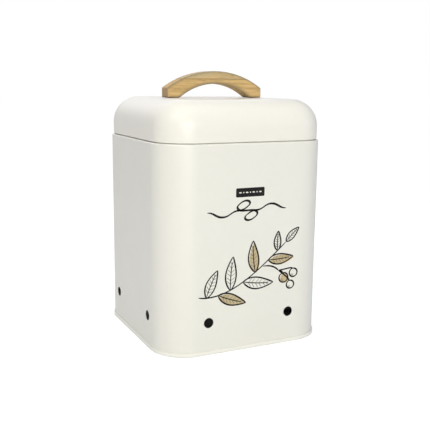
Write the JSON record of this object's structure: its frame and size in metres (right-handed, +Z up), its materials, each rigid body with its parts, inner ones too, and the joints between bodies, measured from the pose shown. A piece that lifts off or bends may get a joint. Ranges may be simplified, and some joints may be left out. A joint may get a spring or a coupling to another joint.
{
  "type": "garlic keeper",
  "caption": "Square steel garlic keeper with rounded corners, low vent holes, a lift-off domed lid and an arched wooden handle.",
  "frame": {"origin": "on the table, under the middle of the canister", "axes": "+Z up, -Y out of the front face, +X to the right of someone who looks at the front"},
  "size_m": [0.1368, 0.1368, 0.2034],
  "materials": {
    "cream_coat": "satin powder coat",
    "light_wood": "oiled, straight grain",
    "zinc_plate": "zinc plated"
  },
  "bodies": {
    "body": {"body_wall": "cream_coat", "base_panel": "cream_coat"},
    "lid": {"lid_shell": "cream_coat", "lid_plug_ring": "cream_coat", "handle": "light_wood", "handle_screw_left": "zinc_plate", "handle_screw_right": "zinc_plate", "handle_washer_left": "zinc_plate", "handle_washer_right": "zinc_plate"}
  },
  "joints": [
    {"name": "lid_lift", "type": "slide", "parent": "body", "child": "lid", "axis": [0, 0, 1], "range_m": [0, 0.08]}
  ]
}
